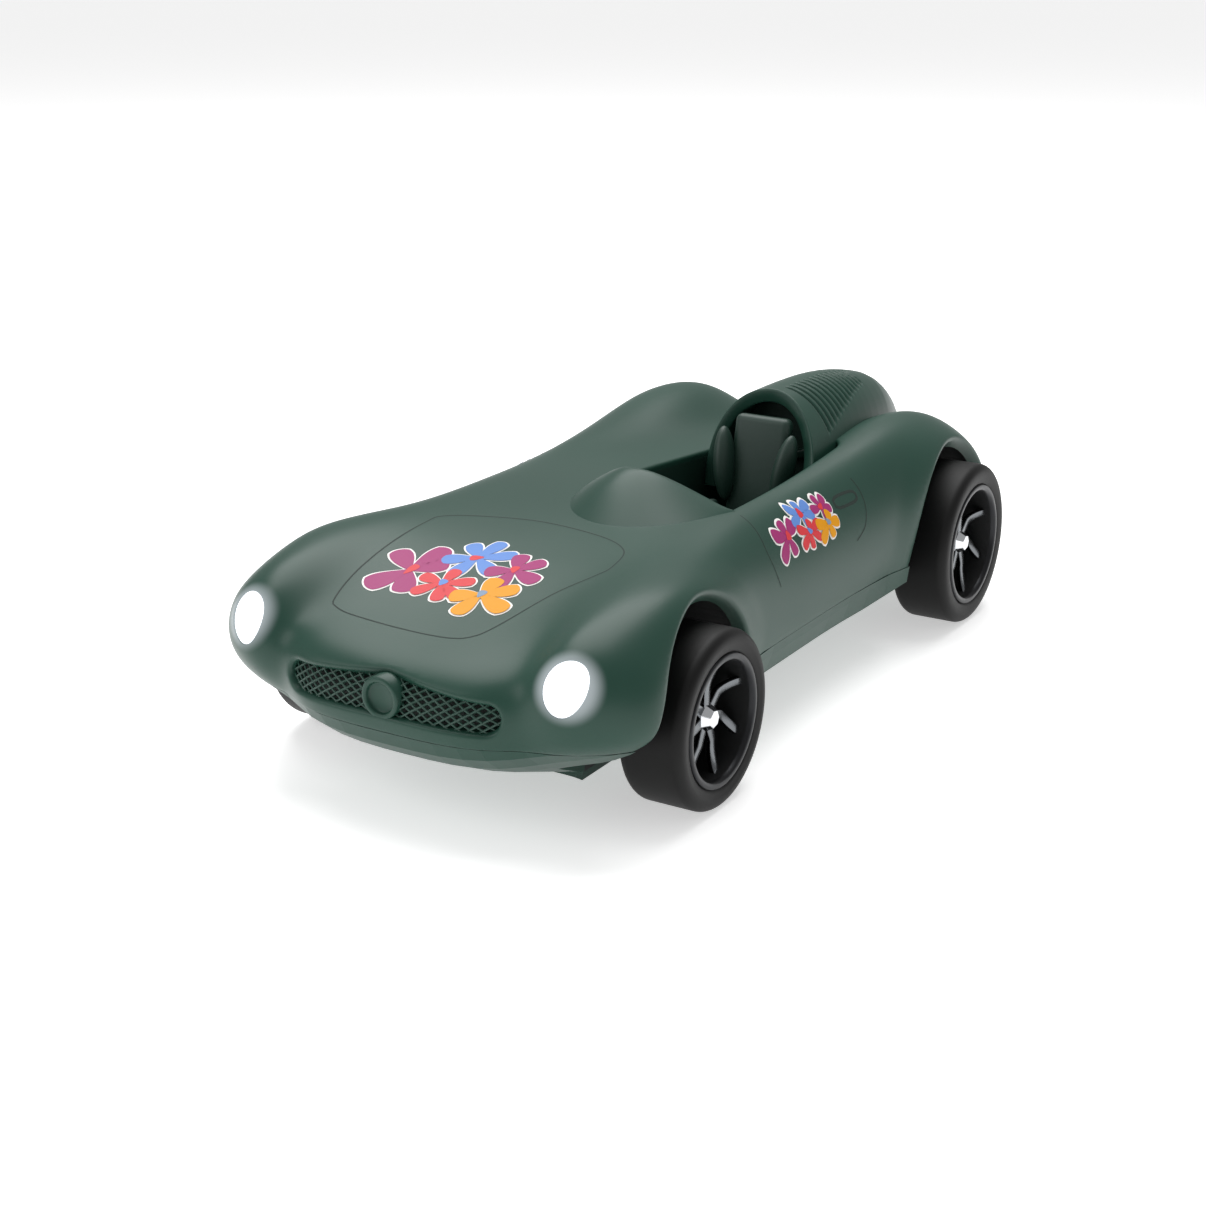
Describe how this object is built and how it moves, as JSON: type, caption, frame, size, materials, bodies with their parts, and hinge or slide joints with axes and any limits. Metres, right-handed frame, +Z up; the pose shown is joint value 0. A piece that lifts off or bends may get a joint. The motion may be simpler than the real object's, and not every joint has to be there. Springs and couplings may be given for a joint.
{
  "type": "toy roadster car",
  "caption": "Battery-driven toy roadster with an open offset cockpit, faired headrest, spoked wheels, steered front wheels and a geared rear axle.",
  "frame": {"origin": "centre of the car at ground level, under the middle of its length", "axes": "+Z up from the ground; +Y towards the tail; -Y is the nose; +X towards the driver side (the cockpit side, on the left of a driver)"},
  "size_m": [0.128, 0.2765, 0.0775],
  "materials": {
    "black_plastic": "moulded black plastic",
    "board": "green circuit board",
    "body_green": "satin moulded plastic, dark grey-green",
    "bush": "sintered bronze",
    "cell": "printed sleeve over steel",
    "contact": "spring steel",
    "film": "printed film",
    "gear": "natural acetal",
    "horn": "white nylon",
    "lamp_lens": "clear-white lens, lit from behind",
    "led": "clear moulded epoxy",
    "nut": "polished",
    "reflector": "bright metallised plastic",
    "rim": "gunmetal, machined lip",
    "servo": "moulded black plastic",
    "steel": "plain steel",
    "tyre": "matt black rubber"
  },
  "bodies": {
    "car_body": {"upper_body_shell": "body_green", "lower_body_pan": "body_green", "windscreen": "body_green", "cockpit_tub": "body_green", "seat": "body_green", "grille": "body_green", "nose_emblem": "body_green", "headlight_lens_left": "lamp_lens", "headlight_lens_right": "lamp_lens", "headlight_led_left": "led", "headlight_led_right": "led", "headlight_reflector_left": "reflector", "headlight_reflector_right": "reflector", "wheel_well_front_left": "black_plastic", "wheel_well_front_right": "black_plastic", "wheel_well_rear_left": "black_plastic", "wheel_well_rear_right": "black_plastic", "battery_box": "black_plastic", "battery_cells": "cell", "battery_contacts": "contact", "battery_door": "body_green", "battery_door_screw": "steel", "circuit_board": "board", "power_switch_case": "black_plastic", "body_screws": "steel", "gearbox_case": "black_plastic", "gearbox_cover": "black_plastic", "gearbox_screws": "steel", "rear_axle_bushes": "bush", "idler_shaft": "steel", "motor_can": "steel", "motor_end_cap": "horn", "steering_servo": "servo", "front_crossmember": "black_plastic", "crossmember_screws": "steel", "kingpins": "steel", "bonnet_sticker": "film", "door_sticker_left": "film", "door_sticker_right": "film"},
    "steering_rack": {"steering_rack": "black_plastic"},
    "servo_horn": {"servo_horn": "horn"},
    "steering_knuckle_left": {"steering_knuckle_left": "black_plastic", "wheel_nut_front_left": "nut"},
    "steering_knuckle_right": {"steering_knuckle_right": "black_plastic", "wheel_nut_front_right": "nut"},
    "front_wheel_left": {"rim_front_left": "rim", "tyre_front_left": "tyre"},
    "front_wheel_right": {"rim_front_right": "rim", "tyre_front_right": "tyre"},
    "rear_axle": {"rear_axle": "steel", "axle_gear": "gear", "rim_rear_left": "rim", "rim_rear_right": "rim", "tyre_rear_left": "tyre", "tyre_rear_right": "tyre", "wheel_nut_rear_left": "nut", "wheel_nut_rear_right": "nut"},
    "idler_gear": {"idler_gear": "gear"},
    "motor_pinion": {"motor_pinion": "steel"},
    "power_switch_knob": {"power_switch_knob": "black_plastic"}
  },
  "joints": [
    {"name": "steering_rack_slide", "type": "slide", "parent": "car_body", "child": "steering_rack", "axis": [1, 0, 0], "range_m": [-0.0036, 0.0036]},
    {"name": "servo_horn_turn", "type": "hinge", "parent": "car_body", "child": "servo_horn", "pos_m": [0, -0.058, 0.02325], "axis": [0, 0, 1], "range_deg": [-21, 21]},
    {"name": "steering_left", "type": "hinge", "parent": "car_body", "child": "steering_knuckle_left", "pos_m": [0.0445, -0.082, 0.02325], "axis": [0, 0, 1], "range_deg": [-15, 15]},
    {"name": "steering_right", "type": "hinge", "parent": "car_body", "child": "steering_knuckle_right", "pos_m": [-0.0445, -0.082, 0.02325], "axis": [0, 0, 1], "range_deg": [-15, 15]},
    {"name": "front_wheel_left_spin", "type": "hinge", "parent": "steering_knuckle_left", "child": "front_wheel_left", "pos_m": [0.055, -0.082, 0.02325], "axis": [1, 0, 0], "continuous": true},
    {"name": "front_wheel_right_spin", "type": "hinge", "parent": "steering_knuckle_right", "child": "front_wheel_right", "pos_m": [-0.055, -0.082, 0.02325], "axis": [1, 0, 0], "continuous": true},
    {"name": "rear_axle_spin", "type": "hinge", "parent": "car_body", "child": "rear_axle", "pos_m": [0, 0.082, 0.025], "axis": [1, 0, 0], "continuous": true},
    {"name": "idler_gear_spin", "type": "hinge", "parent": "car_body", "child": "idler_gear", "pos_m": [-0.018, 0.096, 0.025], "axis": [1, 0, 0], "continuous": true},
    {"name": "motor_pinion_spin", "type": "hinge", "parent": "car_body", "child": "motor_pinion", "pos_m": [-0.014, 0.10755, 0.025], "axis": [1, 0, 0], "continuous": true},
    {"name": "power_switch_slide", "type": "slide", "parent": "car_body", "child": "power_switch_knob", "axis": [0, 1, 0], "range_m": [-0.0015, 0.0015]}
  ],
  "couplings": [
    {"joint": "steering_left", "follows": "steering_rack_slide", "rad_per_m": -71.429},
    {"joint": "steering_right", "follows": "steering_rack_slide", "rad_per_m": -71.429},
    {"joint": "servo_horn_turn", "follows": "steering_rack_slide", "rad_per_m": 100},
    {"joint": "idler_gear_spin", "follows": "rear_axle_spin", "ratio": -3},
    {"joint": "motor_pinion_spin", "follows": "rear_axle_spin", "ratio": 8}
  ]
}
